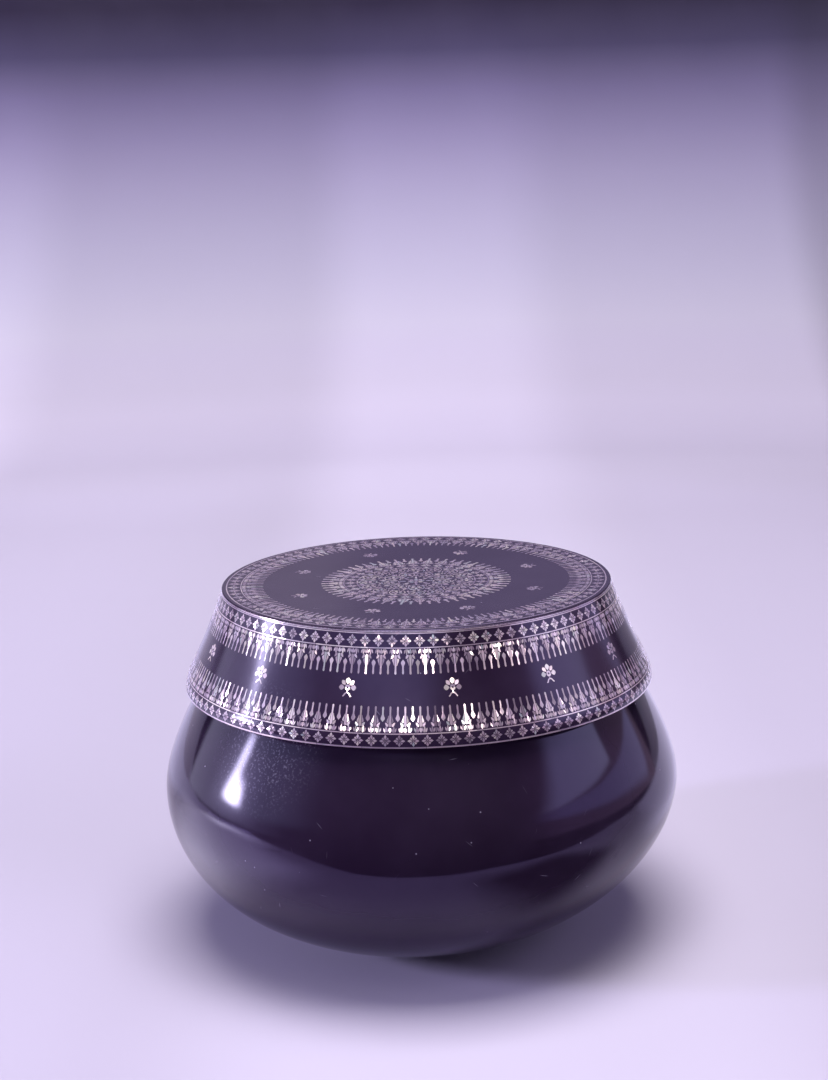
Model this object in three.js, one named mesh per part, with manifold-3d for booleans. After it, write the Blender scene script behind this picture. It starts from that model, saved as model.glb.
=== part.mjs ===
// A lacquered alms bowl with a tall tapered lid, inlaid with mother-of-pearl.
// Millimetres, +Z up. The origin is the centre of the bowl's flat foot, on the surface it stands on.
// Angles go round from the front (-Y) towards +X, and heights on the lid start at its rim.
import * as THREE from "three";
import { mergeVertices } from "three/addons/utils/BufferGeometryUtils.js";
import Module from "manifold-3d";

const wasm = await Module();
wasm.setup();

// Bowl
const bowlRadius = 130;
const bellyHeight = 79.7;
const footFlat = 1;
const poleRadius = 8.9;
const lowerPower = 1.91;
const lowerFullness = 2.19;
const mouthHeight = 159.5;
const mouthRadius = 93.2;
const shoulderPower = 1.43;
const bowlWall = 1.8;

// Brazed band round the bowl's mouth
const bandHeight = 4;
const bandWidth = 5;
const bandOverhang = 1.5;

// Lid
const lidCover = 28;
const lidOverhang = 4;
const lidWall = 5;
const rimPlay = 2.2;
const rimRoll = 7;
const rimDraw = 1.6;
const lidSweep = 1.22;
const lidHeadroom = 12.5;
const edgeRound = 0.8;
const boardThickness = 5;
const boardSeat = 2;
const lipFlat = 1.7;
const hoopFoot = 3;
const hoopHeight = 8;

// Clearances: between seated pieces, between the lid and the bowl, and under and beside the inlay
const fitGap = 0.3;
const seatGap = 0.3;
const bedGap = 0.4;
const pocketMargin = 0.5;

// Inlay
const inlayThickness = 0.6;
const lineWidth = 0.7;
const neckWidth = 0.7;

// Borders on the lid's side, as heights above the rim
const lowerLineHeight = 6.5;
const lowerFlameTip = 17.6;
const upperFlameTip = 30.7;
const upperLineHeight = 41.8;
const lowerDiamondCount = 116;
const lowerFlameCount = 104;
const upperFlameCount = 96;
const upperDiamondCount = 100;

// Borders on the lid's top, as distances in from its edge
const topEdgeInset = 3.7;
const topLineInset = 9.2;
const topFlameTip = 20.6;
const topDiamondCount = 84;
const topFlameCount = 75;

// Medallion in the middle of the lid's top, as radii
const medallionTip = 47.8;
const medallionRadius = 36.6;
const medallionLineRadius = 29.9;
const petalTip = 28.8;
const petalRing = 18.4;
const rosetteRadius = 14;
const rosetteDip = 9.5;
const medallionFlameCount = 32;
const medallionDiamondCount = 32;
const petalCount = 16;
const rosettePetals = 8;

// Flowers
const flowerPetals = 5;
const flowerRadius = 4.1;
const flowerDip = 2.4;
const flowerStem = 4.6;
const stemWidth = 1.3;
const sideFlowerCount = 14;
const sideFlowerStart = 8.1;
const flowerLift = 0.6;
const topFlowerCount = 8;
const topFlowerStart = 22.5;

// Steps round a turned piece and along its curves
const turnedFacets = 36;
const medallionFacets = 32;
const lowerSteps = 6;
const shoulderSteps = 4;
const edgeSteps = 2;
const rollSteps = 2;

const blackLacquer = new THREE.MeshStandardMaterial({ color: 0x17111c, roughness: 0.12, metalness: 0 });
const boardLacquer = new THREE.MeshStandardMaterial({ color: 0x1d1624, roughness: 0.12, metalness: 0 });
const hoopLacquer = new THREE.MeshStandardMaterial({ color: 0x231a1c, roughness: 0.35, metalness: 0 });
const bandSteel = new THREE.MeshStandardMaterial({ color: 0x2a2628, roughness: 0.4, metalness: 0.6 });
const pearl = new THREE.MeshStandardMaterial({ color: 0xd8ccd6, roughness: 0.25, metalness: 0 });

const almsBowl = new THREE.Group();
const bowl = new THREE.Group();
const lid = new THREE.Group();
almsBowl.add(bowl, lid);

function addPiece(group, name, geometry, material) {
  const mesh = new THREE.Mesh(geometry, material);
  mesh.name = name;
  group.add(mesh);
}

function steps(count, from, to, point) {
  return Array.from({ length: count + 1 }, (_, i) => point(from + ((to - from) * i) / count));
}

// An outline of [radius, height] points, anticlockwise, turned about +Z
function turned(outline, facets = turnedFacets) {
  const points = outline.map(([radius, height]) => new THREE.Vector2(radius, height));
  if (outline[0][0] > 0) points.push(points[0].clone());
  return new THREE.LatheGeometry(points, facets).rotateX(Math.PI / 2);
}

// A rectangular ring between two radii and two heights
function squareRing(inner, outer, bottom, top, facets) {
  const outline = [
    [inner, bottom],
    [outer, bottom],
    [outer, top],
    [inner, top],
  ];
  return turned(outline, facets);
}

function toSolid(geometry) {
  const bare = new THREE.BufferGeometry();
  bare.setAttribute("position", geometry.getAttribute("position"));
  bare.setIndex(geometry.getIndex());
  const merged = mergeVertices(bare, 1e-3);
  return new wasm.Manifold(
    new wasm.Mesh({
      numProp: 3,
      vertProperties: new Float32Array(merged.getAttribute("position").array),
      triVerts: new Uint32Array(merged.getIndex().array),
    }),
  );
}

function toGeometry(solid) {
  const mesh = solid.getMesh();
  const geometry = new THREE.BufferGeometry();
  geometry.setAttribute("position", new THREE.BufferAttribute(new Float32Array(mesh.vertProperties), 3));
  geometry.setIndex(new THREE.BufferAttribute(new Uint32Array(mesh.triVerts), 1));
  geometry.computeVertexNormals();
  return geometry;
}

function withPockets(geometry, cutters) {
  let solid = toSolid(geometry);
  for (const cutter of cutters) solid = solid.subtract(toSolid(cutter));
  return toGeometry(solid);
}

// The bowl's outer radius: a full round bottom, and a shoulder that draws in towards the mouth
function bowlOuterRadius(z) {
  if (z < bellyHeight) {
    const drop = (bellyHeight - z) / (bellyHeight + footFlat);
    const fullness = Math.pow(1 - Math.pow(drop, lowerPower), 1 / lowerFullness);
    return poleRadius + (bowlRadius - poleRadius) * fullness;
  }
  const rise = (z - bellyHeight) / (mouthHeight - bellyHeight);
  return bowlRadius - (bowlRadius - mouthRadius) * Math.pow(rise, shoulderPower);
}

// A point of the bowl's wall, moved in from its outer face square to it
function bowlPoint(z, depth) {
  const step = 0.5;
  const slope = (bowlOuterRadius(z + step) - bowlOuterRadius(z - step)) / (2 * step);
  const stretch = Math.hypot(1, slope);
  return [bowlOuterRadius(z) - depth / stretch, z + (depth * slope) / stretch];
}

const bandRadius = mouthRadius + bandOverhang;

// The lid's outer radius: a small roll at the rim, and above it a taper that eases towards the top
const lidSeatHeight = mouthHeight - lidCover;
const lidRimRadius = bowlOuterRadius(lidSeatHeight) + rimPlay + lidWall;
const lidTopRadius = mouthRadius + lidOverhang;
const lidHeight = lidCover + bandHeight + lidHeadroom + boardThickness;
const taperHeight = lidHeight - rimRoll;
const lidTaper = lidRimRadius - rimDraw - lidTopRadius;
const lidFlare = (lidSweep * lidTaper) / taperHeight;
const taperCurve = (lidFlare * taperHeight - lidTaper) / taperHeight ** 2;
const rollCurve = (rimDraw - lidFlare * rimRoll) / rimRoll ** 2;
const rollStart = -lidFlare - 2 * rollCurve * rimRoll;

function lidRadius(height) {
  if (height < rimRoll) return lidRimRadius + rollStart * height + rollCurve * height ** 2;
  const above = height - rimRoll;
  return lidRimRadius - rimDraw - lidFlare * above + taperCurve * above ** 2;
}

function lidSlope(height) {
  if (height < rimRoll) return rollStart + 2 * rollCurve * height;
  return -lidFlare + 2 * taperCurve * (height - rimRoll);
}

// The inner face of the lid's wall
function lidInnerRadius(height) {
  return lidRadius(height) - lidWall * Math.hypot(1, lidSlope(height));
}

// A point of the lid's wall, moved in from its outer face square to it
function lidPoint(height, depth) {
  const stretch = Math.hypot(1, lidSlope(height));
  const radius = lidRadius(height) - depth / stretch;
  return [radius, lidSeatHeight + height + (depth * lidSlope(height)) / stretch];
}

const lidTop = lidSeatHeight + lidHeight;
const boardRadius = lidTopRadius - edgeRound - lipFlat - fitGap;
const ledgeHeight = lidHeight - boardThickness - fitGap;
const hoopTop = hoopFoot + hoopHeight;
const innerBend = (hoopTop + ledgeHeight) / 2;

// Where a point of an inlay lies: round the lid's side by angle and height, or on its top by angle
// and distance in from the edge. Depth goes into the lid.
function onSide(angle, height, depth) {
  const [radius, z] = lidPoint(height, depth);
  return new THREE.Vector3(radius * Math.sin(angle), -radius * Math.cos(angle), z);
}

function onTop(angle, inset, depth) {
  const radius = lidTopRadius - inset;
  return new THREE.Vector3(radius * Math.sin(angle), -radius * Math.cos(angle), lidTop - depth);
}

// A sheet of even thickness: flat points placed on the lid, anticlockwise faces, and a wall along
// every edge that only one face has
function sheet(points, faces, place, above = 0, below = inlayThickness) {
  const count = points.length;
  const front = points.map(([across, along]) => place(across, along, -above));
  const back = points.map(([across, along]) => place(across, along, below));
  const edges = new Map();
  const index = [];
  for (const [a, b, c] of faces) {
    index.push(a, b, c, count + a, count + c, count + b);
    for (const [from, to] of [[a, b], [b, c], [c, a]]) {
      if (!edges.delete(`${to} ${from}`)) edges.set(`${from} ${to}`, [from, to]);
    }
  }
  for (const [from, to] of edges.values()) {
    index.push(to, from, count + from, to, count + from, count + to);
  }
  const geometry = new THREE.BufferGeometry().setFromPoints([...front, ...back]);
  geometry.setIndex(index);
  geometry.computeVertexNormals();
  return geometry;
}

// A ring of inlay between two closed outlines that go round the lid, as [angle, place] points
function ringSheet(lower, upper, place) {
  const points = [...lower, ...upper];
  const faces = [];
  const turnedAngle = (outline, i) => outline[i % outline.length][0] + (i < outline.length ? 0 : 2 * Math.PI);
  let low = 0;
  let high = 0;
  while (low < lower.length || high < upper.length) {
    const lowIndex = low % lower.length;
    const highIndex = lower.length + (high % upper.length);
    const lowNext = low < lower.length ? turnedAngle(lower, low + 1) : Infinity;
    const highNext = high < upper.length ? turnedAngle(upper, high + 1) : Infinity;
    if (lowNext <= highNext) {
      low += 1;
      faces.push([lowIndex, low % lower.length, highIndex]);
    } else {
      high += 1;
      faces.push([lowIndex, lower.length + (high % upper.length), highIndex]);
    }
  }
  return sheet(points, faces, place);
}

// One outline repeated round the lid: each point is a share of the pitch and a place
function repeated(count, outline) {
  const pitch = (2 * Math.PI) / count;
  return Array.from({ length: count }, (_, i) => outline.map(([share, along]) => [(i + share) * pitch, along])).flat();
}

// A chain of diamonds that touch at their side corners
function diamondChain(count, from, to, place) {
  const middle = (from + to) / 2;
  const lower = repeated(count, [[0, middle - neckWidth / 2], [0.5, from]]);
  const upper = repeated(count, [[0, middle + neckWidth / 2], [0.5, to]]);
  return ringSheet(lower, upper, place);
}

// A line of shell with a row of flames that grow out of it towards their tips
function flameBorder(count, base, tip, place) {
  const away = Math.sign(tip - base);
  const line = repeated(count, [[0, base]]);
  const root = base + away * lineWidth;
  const flames = repeated(count, [[0, root], [0.5, tip]]);
  return away > 0 ? ringSheet(line, flames, place) : ringSheet(flames, line, place);
}

// A closed outline cut as one flat piece
function cutOut(outline, place, above, below) {
  const contour = outline.map(([across, along]) => new THREE.Vector2(across, along));
  const faces = THREE.ShapeUtils.triangulateShape(contour, []);
  return sheet(outline, faces, place, above, below);
}

// The flowers stand midway across the plain field of the side and of the top
const sideFlowerHeight = (lowerFlameTip + upperFlameTip) / 2 + flowerLift;
const topFlowerRadius = (medallionTip + lidTopRadius - topFlameTip) / 2;

// A flower of five petals over a short stem
function flowerOutline() {
  const gaps = flowerPetals - 1;
  const side = stemWidth / 2;
  const petals = Array.from({ length: 2 * gaps + 1 }, (_, i) => {
    const angle = (Math.PI * i) / (2 * gaps);
    const reach = i % 2 ? flowerDip : flowerRadius;
    return [reach * Math.cos(angle), reach * Math.sin(angle)];
  });
  const stem = [
    [-side, -flowerDip / 2],
    [-side, -flowerStem],
    [side, -flowerStem],
    [side, -flowerDip / 2],
  ];
  return [...petals, ...stem];
}

// The pocket that a flower lies in spans its petals and its stem
function pocketOutline() {
  const reach = flowerRadius + pocketMargin;
  const side = stemWidth / 2 + pocketMargin;
  const foot = -flowerStem - pocketMargin;
  const crown = steps(flowerPetals - 1, 0, Math.PI, (angle) => [reach * Math.cos(angle), reach * Math.sin(angle)]);
  return [...crown, [-side, foot], [side, foot]];
}

function sideFlowerPlace(index) {
  const middle = THREE.MathUtils.degToRad(sideFlowerStart + (360 * index) / sideFlowerCount);
  const radius = lidRadius(sideFlowerHeight);
  return (across, along, depth) => onSide(middle + across / radius, sideFlowerHeight + along, depth);
}

function topFlowerPlace(index) {
  const angle = THREE.MathUtils.degToRad(topFlowerStart + (360 * index) / topFlowerCount);
  const turn = new THREE.Matrix4().makeRotationZ(angle);
  return (across, along, depth) =>
    new THREE.Vector3(across, along - topFlowerRadius, lidTop - depth).applyMatrix4(turn);
}

function flowers(count, placeOf) {
  return Array.from({ length: count }, (_, i) => cutOut(flowerOutline(), placeOf(i)));
}

function flowerPockets(count, placeOf) {
  const depth = inlayThickness + bedGap;
  return Array.from({ length: count }, (_, i) => cutOut(pocketOutline(), placeOf(i), bedGap, depth));
}

// The bowl's shell, open at the mouth, with its steps closer where the bottom turns more
function bowlShell() {
  const lowerReach = bellyHeight + footFlat;
  const footAngle = Math.acos((bellyHeight / lowerReach) ** (lowerPower / 2));
  const lower = steps(lowerSteps, footAngle, Math.PI / 2, (angle) => {
    return bellyHeight - lowerReach * Math.cos(angle) ** (2 / lowerPower);
  });
  const shoulder = steps(shoulderSteps, bellyHeight, mouthHeight, (z) => z).slice(1);
  const heights = [...lower, ...shoulder];
  const outside = heights.map((z) => bowlPoint(z, 0));
  const inside = heights.map((z) => bowlPoint(z, bowlWall)).reverse();
  outside[0][1] = 0;
  inside[0] = [mouthRadius - bowlWall, mouthHeight];
  return turned([[0, 0], ...outside, ...inside, [0, bowlWall]]);
}

// The band that stiffens the mouth: its flat underside stands on the shell's edge
function mouthBand() {
  const bottom = mouthHeight + fitGap;
  const top = bottom + bandHeight - fitGap;
  const inner = bandRadius - bandWidth;
  const bevel = bandHeight / 4;
  return turned([
    [inner, bottom],
    [bandRadius, bottom],
    [bandRadius, top - bevel],
    [bandRadius - bevel, top],
    [inner + bevel, top],
    [inner, top - bevel],
  ]);
}

// The lid's tapered wall, with a bed for each group of borders and a rebate for the top board
function lidWallRing() {
  const bed = inlayThickness + bedGap;
  const lowerBedTop = lowerFlameTip + bedGap;
  const upperBedFoot = upperFlameTip - bedGap;
  const upperBedTop = lidHeight - edgeRound;
  const ledgeRadius = boardRadius - boardSeat;
  const roundCentre = lidRadius(upperBedTop) - edgeRound;
  const lowerBed = [
    ...steps(rollSteps, 0, rimRoll, (height) => lidPoint(height, bed)),
    lidPoint(lowerBedTop, bed),
  ];
  lowerBed[0][1] = lidSeatHeight;
  const field = [lidPoint(lowerBedTop, 0), lidPoint(upperBedFoot, 0)];
  const upperBed = [lidPoint(upperBedFoot, bed), lidPoint(upperBedTop, bed)];
  const edge = steps(edgeSteps, 0, Math.PI / 2, (angle) => [
    roundCentre + edgeRound * Math.cos(angle),
    lidSeatHeight + upperBedTop + edgeRound * Math.sin(angle),
  ]);
  const rebate = [
    [boardRadius + fitGap, lidTop],
    [boardRadius + fitGap, lidSeatHeight + ledgeHeight],
    [ledgeRadius, lidSeatHeight + ledgeHeight],
  ];
  const inside = [innerBend, hoopTop, hoopFoot, 0].map((height) => [
    lidInnerRadius(height),
    lidSeatHeight + height,
  ]);
  return turned([...lowerBed, ...field, ...upperBed, ...edge, ...rebate, ...inside]);
}

// The round board that closes the lid, with a bed round its edge and one in its middle
function topBoard() {
  const bed = lidTop - inlayThickness - bedGap;
  const borderBed = lidTopRadius - topFlameTip - bedGap;
  const medallionBed = medallionTip + bedGap;
  return turned([
    [0, lidTop - boardThickness],
    [boardRadius, lidTop - boardThickness],
    [boardRadius, bed],
    [borderBed, bed],
    [borderBed, lidTop],
    [medallionBed, lidTop],
    [medallionBed, bed],
    [0, bed],
  ]);
}

// The hoop inside the rim: its inner face follows the bowl's shoulder, which carries the lid
function rimHoop() {
  const inner = (height) => [bowlOuterRadius(lidSeatHeight + height) + seatGap, lidSeatHeight + height];
  const outer = (height) => [lidInnerRadius(height) - fitGap, lidSeatHeight + height];
  return turned([inner(hoopFoot), outer(hoopFoot), outer(hoopTop), inner(hoopTop)]);
}

addPiece(bowl, "bowl_shell", bowlShell(), blackLacquer);
addPiece(bowl, "mouth_band", mouthBand(), bandSteel);

const sidePockets = flowerPockets(sideFlowerCount, sideFlowerPlace);
const topPockets = flowerPockets(topFlowerCount, topFlowerPlace);
addPiece(lid, "lid_wall", withPockets(lidWallRing(), sidePockets), blackLacquer);
addPiece(lid, "lid_top_board", withPockets(topBoard(), topPockets), boardLacquer);
addPiece(lid, "lid_rim_hoop", rimHoop(), hoopLacquer);

// Plain lines of shell
function sideLine(from) {
  const ring = (height) => repeated(turnedFacets, [[0, height]]);
  return ringSheet(ring(from), ring(from + lineWidth), onSide);
}

function topLine(outer, facets) {
  return squareRing(outer - lineWidth, outer, lidTop - inlayThickness, lidTop, facets);
}

const edgeLineHeight = lidHeight - edgeRound - bedGap - lineWidth;
addPiece(lid, "rim_line", sideLine(0), pearl);
addPiece(lid, "upper_edge_line", sideLine(edgeLineHeight), pearl);
addPiece(lid, "top_edge_line", topLine(lidTopRadius - topEdgeInset, turnedFacets), pearl);
addPiece(lid, "medallion_line", topLine(medallionLineRadius, medallionFacets), pearl);

// Chains of diamonds between the lines
const lowerDiamonds = [lineWidth + bedGap, lowerLineHeight - bedGap];
const upperDiamonds = [upperLineHeight + lineWidth + bedGap, edgeLineHeight - bedGap];
const topDiamonds = [topEdgeInset + lineWidth + bedGap, topLineInset - bedGap];
const medallionDiamonds = [
  lidTopRadius - medallionRadius + lineWidth + bedGap,
  lidTopRadius - medallionLineRadius - bedGap,
];
addPiece(lid, "lower_diamond_band", diamondChain(lowerDiamondCount, ...lowerDiamonds, onSide), pearl);
addPiece(lid, "upper_diamond_band", diamondChain(upperDiamondCount, ...upperDiamonds, onSide), pearl);
addPiece(lid, "top_diamond_band", diamondChain(topDiamondCount, ...topDiamonds, onTop), pearl);
addPiece(lid, "medallion_diamond_band", diamondChain(medallionDiamondCount, ...medallionDiamonds, onTop), pearl);

// Rows of flames
const lowerFlames = [lowerLineHeight, lowerFlameTip];
const upperFlames = [upperLineHeight + lineWidth, upperFlameTip];
const topFlames = [topLineInset, topFlameTip];
const medallionFlames = [lidTopRadius - medallionRadius + lineWidth, lidTopRadius - medallionTip];
const petals = [lidTopRadius - petalRing + lineWidth, lidTopRadius - petalTip];
addPiece(lid, "lower_flame_border", flameBorder(lowerFlameCount, ...lowerFlames, onSide), pearl);
addPiece(lid, "upper_flame_border", flameBorder(upperFlameCount, ...upperFlames, onSide), pearl);
addPiece(lid, "top_flame_border", flameBorder(topFlameCount, ...topFlames, onTop), pearl);
addPiece(lid, "medallion_flames", flameBorder(medallionFlameCount, ...medallionFlames, onTop), pearl);
addPiece(lid, "medallion_petals", flameBorder(petalCount, ...petals, onTop), pearl);

// The rosette in the middle
const rosette = Array.from({ length: 2 * rosettePetals }, (_, i) => {
  const angle = (Math.PI * i) / rosettePetals;
  const reach = i % 2 ? rosetteDip : rosetteRadius;
  return [reach * Math.cos(angle), reach * Math.sin(angle)];
});
const flat = (across, along, depth) => new THREE.Vector3(across, along, lidTop - depth);
addPiece(lid, "medallion_rosette", cutOut(rosette, flat), pearl);

flowers(sideFlowerCount, sideFlowerPlace).forEach((flower, i) => {
  addPiece(lid, `side_flower_${i + 1}`, flower, pearl);
});
flowers(topFlowerCount, topFlowerPlace).forEach((flower, i) => {
  addPiece(lid, `top_flower_${i + 1}`, flower, pearl);
});

export default almsBowl;
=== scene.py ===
import math
import random

import bpy
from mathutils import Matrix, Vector


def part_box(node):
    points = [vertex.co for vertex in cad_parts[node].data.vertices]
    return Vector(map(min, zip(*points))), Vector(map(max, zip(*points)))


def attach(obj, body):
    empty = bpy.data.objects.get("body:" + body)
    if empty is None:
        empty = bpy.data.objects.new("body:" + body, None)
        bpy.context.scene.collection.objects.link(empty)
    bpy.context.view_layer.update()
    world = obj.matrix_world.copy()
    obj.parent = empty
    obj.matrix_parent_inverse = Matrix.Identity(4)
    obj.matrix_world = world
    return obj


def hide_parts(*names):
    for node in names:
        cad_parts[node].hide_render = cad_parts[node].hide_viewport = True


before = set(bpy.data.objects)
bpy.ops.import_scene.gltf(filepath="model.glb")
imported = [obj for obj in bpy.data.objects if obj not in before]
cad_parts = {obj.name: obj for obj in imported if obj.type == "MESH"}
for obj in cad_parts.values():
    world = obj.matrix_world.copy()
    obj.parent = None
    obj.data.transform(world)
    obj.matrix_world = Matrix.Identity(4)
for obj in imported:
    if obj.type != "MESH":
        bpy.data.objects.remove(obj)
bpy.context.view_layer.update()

# A lacquered alms bowl with a tall lid, inlaid with mother-of-pearl. Metres, +Z up.
# Angles go round from the front (-Y) towards +X. Heights on the lid start at its rim.

mm = 0.001
fullTurn = 2 * math.pi


# Shader maths

class Value:
    # one output of a finish's nodes, so that sums on it read as sums
    def __init__(self, finish, socket):
        self.finish = finish
        self.socket = socket

    def combine(self, operation, left, right):
        return self.finish.node("Math", {"operation": operation}, {0: left, 1: right})

    def __add__(self, other):
        return self.combine("ADD", self, other)

    def __radd__(self, other):
        return self.combine("ADD", other, self)

    def __sub__(self, other):
        return self.combine("SUBTRACT", self, other)

    def __rsub__(self, other):
        return self.combine("SUBTRACT", other, self)

    def __mul__(self, other):
        return self.combine("MULTIPLY", self, other)

    def __rmul__(self, other):
        return self.combine("MULTIPLY", other, self)

    def __gt__(self, other):
        return self.combine("GREATER_THAN", self, other)


class Finish:
    # a material and its nodes
    def __init__(self, name, **constants):
        self.material = bpy.data.materials.new(name)
        self.material.use_nodes = True
        self.tree = self.material.node_tree
        self.surface = self.tree.nodes["Principled BSDF"]
        for socket, value in constants.items():
            self.surface.inputs[socket.replace("_", " ")].default_value = value

    def node(self, kind, settings=None, sockets=None, output=0):
        made = self.tree.nodes.new("ShaderNode" + kind)
        for name, value in (settings or {}).items():
            if name == "stops":
                self.setStops(made.color_ramp.elements, value)
            else:
                setattr(made, name, value)
        for socket, value in (sockets or {}).items():
            self.feed(made.inputs[socket], value)
        return Value(self, made.outputs[output])

    def setStops(self, elements, stops):
        while len(elements) < len(stops):
            elements.new(1)
        for element, (place, colour) in zip(elements, stops):
            element.position = place
            element.color = (*colour, 1)

    def feed(self, socket, value):
        if isinstance(value, Value):
            self.tree.links.new(value.socket, socket)
        else:
            socket.default_value = value

    def set(self, **inputs):
        for socket, value in inputs.items():
            self.feed(self.surface.inputs[socket.replace("_", " ")], value)

    def place(self):
        return self.node("TexCoord", output="Object")

    def stretched(self, vector, scale):
        return self.node("Mapping", None, {"Vector": vector, "Scale": scale})

    def noise(self, vector, scale, detail=3, roughness=0.5):
        sockets = {"Vector": vector, "Scale": scale, "Detail": detail, "Roughness": roughness}
        return self.node("TexNoise", None, sockets)

    def mix(self, factor, first, second):
        settings = {"data_type": "RGBA"}
        return self.node("Mix", settings, {0: factor, 6: first, 7: second}, output=2)

    def ranged(self, value, low, high, bottom=0, top=1):
        sockets = {"Value": value, "From Min": low, "From Max": high, "To Min": bottom, "To Max": top}
        return self.node("MapRange", {"interpolation_type": "SMOOTHSTEP"}, sockets)

    def bump(self, height, distance, strength):
        sockets = {"Height": height, "Distance": distance, "Strength": strength}
        return self.node("Bump", None, sockets)


# The bowl's and the lid's curves, with their main sizes from the frame. Below the belly the bowl is a
# flattened round, above it an easing shoulder. The lid's wall sweeps in and rolls over at its rim.

def cornersOf(node):
    return [vertex.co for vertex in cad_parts[node].data.vertices]


def reachOf(node):
    return max(math.hypot(corner.x, corner.y) for corner in cornersOf(node))


curves = {
    "footFlat": 1 * mm,
    "poleRadius": 8.9 * mm,
    "lowerPower": 1.91,
    "lowerFullness": 2.19,
    "shoulderEase": 0.6,
    "bandOverhang": 1.5 * mm,
    "rimRoll": 7 * mm,
    "rimDraw": 1.6 * mm,
    "lidSweep": 1.22,
    "topEdgeInset": 3.7 * mm,
    "topDish": 1.3 * mm,
}

bowlRadius = reachOf("bowl_shell")
bellyHeight = max(cornersOf("bowl_shell"), key=lambda corner: math.hypot(corner.x, corner.y)).z
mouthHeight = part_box("bowl_shell")[1].z
mouthRadius = reachOf("mouth_band") - curves["bandOverhang"]
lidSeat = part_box("lid_wall")[0].z
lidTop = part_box("lid_wall")[1].z
lidHeight = lidTop - lidSeat
lidRimRadius = reachOf("rim_line")
lidTopRadius = reachOf("top_edge_line") + curves["topEdgeInset"]

taperHeight = lidHeight - curves["rimRoll"]
lidTaper = lidRimRadius - curves["rimDraw"] - lidTopRadius
lidFlare = curves["lidSweep"] * lidTaper / taperHeight
taperCurve = (lidFlare * taperHeight - lidTaper) / taperHeight ** 2
rollCurve = (curves["rimDraw"] - lidFlare * curves["rimRoll"]) / curves["rimRoll"] ** 2
rollStart = -lidFlare - 2 * rollCurve * curves["rimRoll"]


def bowlOuterRadius(z):
    if z < bellyHeight:
        drop = (bellyHeight - z) / (bellyHeight + curves["footFlat"])
        fullness = max(0, 1 - drop ** curves["lowerPower"]) ** (1 / curves["lowerFullness"])
        return curves["poleRadius"] + (bowlRadius - curves["poleRadius"]) * fullness
    rise = (z - bellyHeight) / (mouthHeight - bellyHeight)
    drawn = rise ** 2 * (1 + curves["shoulderEase"]) / (rise + curves["shoulderEase"])
    return bowlRadius - (bowlRadius - mouthRadius) * drawn


def bowlPoint(z, depth):
    # the (radius, height) at a depth under the bowl's outside, square to it
    step = 0.2 * mm
    slope = (bowlOuterRadius(z + step) - bowlOuterRadius(z - step)) / (2 * step)
    stretch = math.hypot(1, slope)
    return bowlOuterRadius(z) - depth / stretch, z + depth * slope / stretch


def lidRadius(height):
    if height < curves["rimRoll"]:
        return lidRimRadius + rollStart * height + rollCurve * height ** 2
    above = height - curves["rimRoll"]
    return lidRimRadius - curves["rimDraw"] - lidFlare * above + taperCurve * above ** 2


def lidSlope(height):
    if height < curves["rimRoll"]:
        return rollStart + 2 * rollCurve * height
    return -lidFlare + 2 * taperCurve * (height - curves["rimRoll"])


def onSide(angle, height):
    # height is counted from the lid's rim
    radius = lidRadius(height)
    return Vector((radius * math.sin(angle), -radius * math.cos(angle), lidSeat + height))


def topLevel(radius):
    return lidTop - curves["topDish"] * max(0, 1 - (radius / lidTopRadius) ** 2)


def onTop(angle, inset):
    # inset is counted from the top's edge inwards
    radius = lidTopRadius - inset
    return Vector((radius * math.sin(angle), -radius * math.cos(angle), topLevel(radius)))


def evenly(count, start, end):
    # count equal steps, so one more value than that
    return [start + (end - start) * step / count for step in range(count + 1)]


def addMesh(name, points, faces, finish, maps=None):
    mesh = bpy.data.meshes.new(name)
    mesh.from_pydata(points, [], faces)
    for layer, corners in (maps or {}).items():
        made = mesh.uv_layers.new(name=layer)
        made.data.foreach_set("uv", [number for corner in corners for number in corner])
    mesh.materials.append(finish.material)
    piece = bpy.data.objects.new(name, mesh)
    bpy.context.scene.collection.objects.link(piece)
    return piece


def placePiece(piece, body, slot, *nodes):
    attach(piece, body)
    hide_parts(*nodes)


# Turned pieces

turning = {
    "facets": 288,
    "crease": math.radians(32),
}


def addTurned(name, outline, finish):
    # outline holds (radius, height) points, anticlockwise. It is a ring unless it starts on the axis.
    facets = turning["facets"]
    isRing = outline[0][0] > 0
    points = []
    rings = []
    for radius, height in outline:
        rings.append(range(len(points), len(points) + (facets if radius > 0 else 1)))
        for turn in range(facets if radius > 0 else 1):
            angle = fullTurn * turn / facets
            points.append((radius * math.sin(angle), -radius * math.cos(angle), height))
    faces = []
    corners = []
    pairs = list(zip(range(len(rings)), range(1, len(rings))))
    if isRing:
        pairs.append((len(rings) - 1, 0))
    for row, (lower, upper) in enumerate(pairs):
        for turn in range(facets):
            across = (turn + 1) % facets
            ends = [(lower, turn, 0), (lower, across, 1), (upper, across, 1), (upper, turn, 0)]
            face = []
            spots = []
            for ring, place, side in ends:
                vertex = rings[ring][place % len(rings[ring])]
                if vertex in face:
                    continue
                face.append(vertex)
                spots.append(((turn + side) / facets, (row + (ring == upper)) / len(pairs)))
            if len(face) > 2:
                faces.append(face)
                corners.extend(spots)
    piece = addMesh(name, points, faces, finish, {"OFBake": corners})
    piece.data.shade_smooth()
    piece.data.set_sharp_from_angle(angle=turning["crease"])
    return piece


# Lacquer, dust and scratches

lacquerLook = {
    "black": (0.0165, 0.0085, 0.0220),
    "worn": (0.0250, 0.0150, 0.0330),
    "wornReach": (0.35, 0.75),
    "tint": (0.56, 0.47, 0.90),
    "ior": 1.5,
    "cloudScale": 14,
    "smudge": 0.06,
    "smudgeReach": (0.4, 0.8),
    "waveScale": 26,
    "waveDepth": 0.5 * mm,
    "waveStrength": 0.6,
}

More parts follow.
